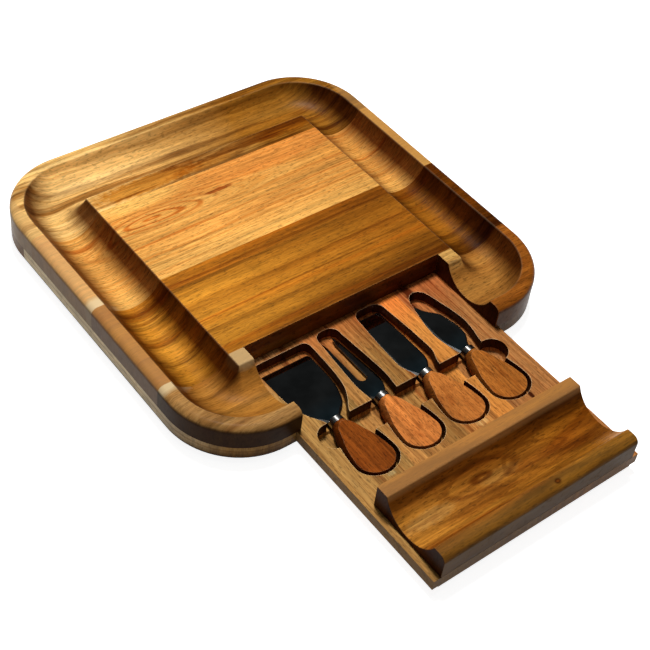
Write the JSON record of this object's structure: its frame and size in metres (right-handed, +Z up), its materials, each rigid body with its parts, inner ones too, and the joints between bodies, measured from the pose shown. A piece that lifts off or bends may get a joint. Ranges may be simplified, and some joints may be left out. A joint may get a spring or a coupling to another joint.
{
  "type": "cheese board",
  "caption": "Square wooden cheese board with a moat round a raised cutting plateau and a slide-out front drawer that stores cheese knives, a fork and a spade.",
  "frame": {"origin": "under the middle of the whole footprint with the drawer pulled out as shown, on the surface that the board stands on", "axes": "+Y from the drawer's front towards the board's back edge, +X to the right when facing the drawer's front from outside, +Z up"},
  "size_m": [0.33, 0.4746, 0.036],
  "materials": {
    "golden_acacia": "oiled, satin",
    "honey_acacia": "oiled, satin",
    "brown_acacia": "oiled, satin",
    "pale_sapwood": "oiled, satin",
    "dark_heartwood": "oiled, satin",
    "rosy_acacia": "oiled, satin",
    "polished_steel": "mirror polished",
    "ferrule_steel": "polished",
    "reddish_handle_wood": "oiled, satin",
    "orange_handle_wood": "oiled, satin",
    "mid_handle_wood": "oiled, satin",
    "streaked_handle_wood": "oiled, satin"
  },
  "bodies": {
    "board": {"back_plank": "golden_acacia", "upper_middle_plank": "honey_acacia", "lower_middle_plank": "brown_acacia", "front_left_corner": "pale_sapwood", "front_right_corner": "pale_sapwood", "left_runner": "pale_sapwood", "right_runner": "pale_sapwood", "back_rail": "dark_heartwood"},
    "drawer": {"drawer_tray": "rosy_acacia", "trough_block": "golden_acacia"},
    "spade": {"spade_blade": "polished_steel", "spade_ferrule": "ferrule_steel", "spade_handle": "reddish_handle_wood"},
    "fork": {"fork_blade": "polished_steel", "fork_ferrule": "ferrule_steel", "fork_handle": "orange_handle_wood"},
    "flat_knife": {"flat_knife_blade": "polished_steel", "flat_knife_ferrule": "ferrule_steel", "flat_knife_handle": "mid_handle_wood"},
    "pointed_knife": {"pointed_knife_blade": "polished_steel", "pointed_knife_ferrule": "ferrule_steel", "pointed_knife_handle": "streaked_handle_wood"}
  },
  "joints": [
    {"name": "drawer_slide", "type": "slide", "parent": "board", "child": "drawer", "axis": [0, -1, 0], "range_m": [-0.1475, 0.045]},
    {"name": "spade_lift", "type": "slide", "parent": "drawer", "child": "spade", "axis": [0, 0, 1], "range_m": [0, 0.04]},
    {"name": "fork_lift", "type": "slide", "parent": "drawer", "child": "fork", "axis": [0, 0, 1], "range_m": [0, 0.04]},
    {"name": "flat_knife_lift", "type": "slide", "parent": "drawer", "child": "flat_knife", "axis": [0, 0, 1], "range_m": [0, 0.04]},
    {"name": "pointed_knife_lift", "type": "slide", "parent": "drawer", "child": "pointed_knife", "axis": [0, 0, 1], "range_m": [0, 0.04]}
  ]
}
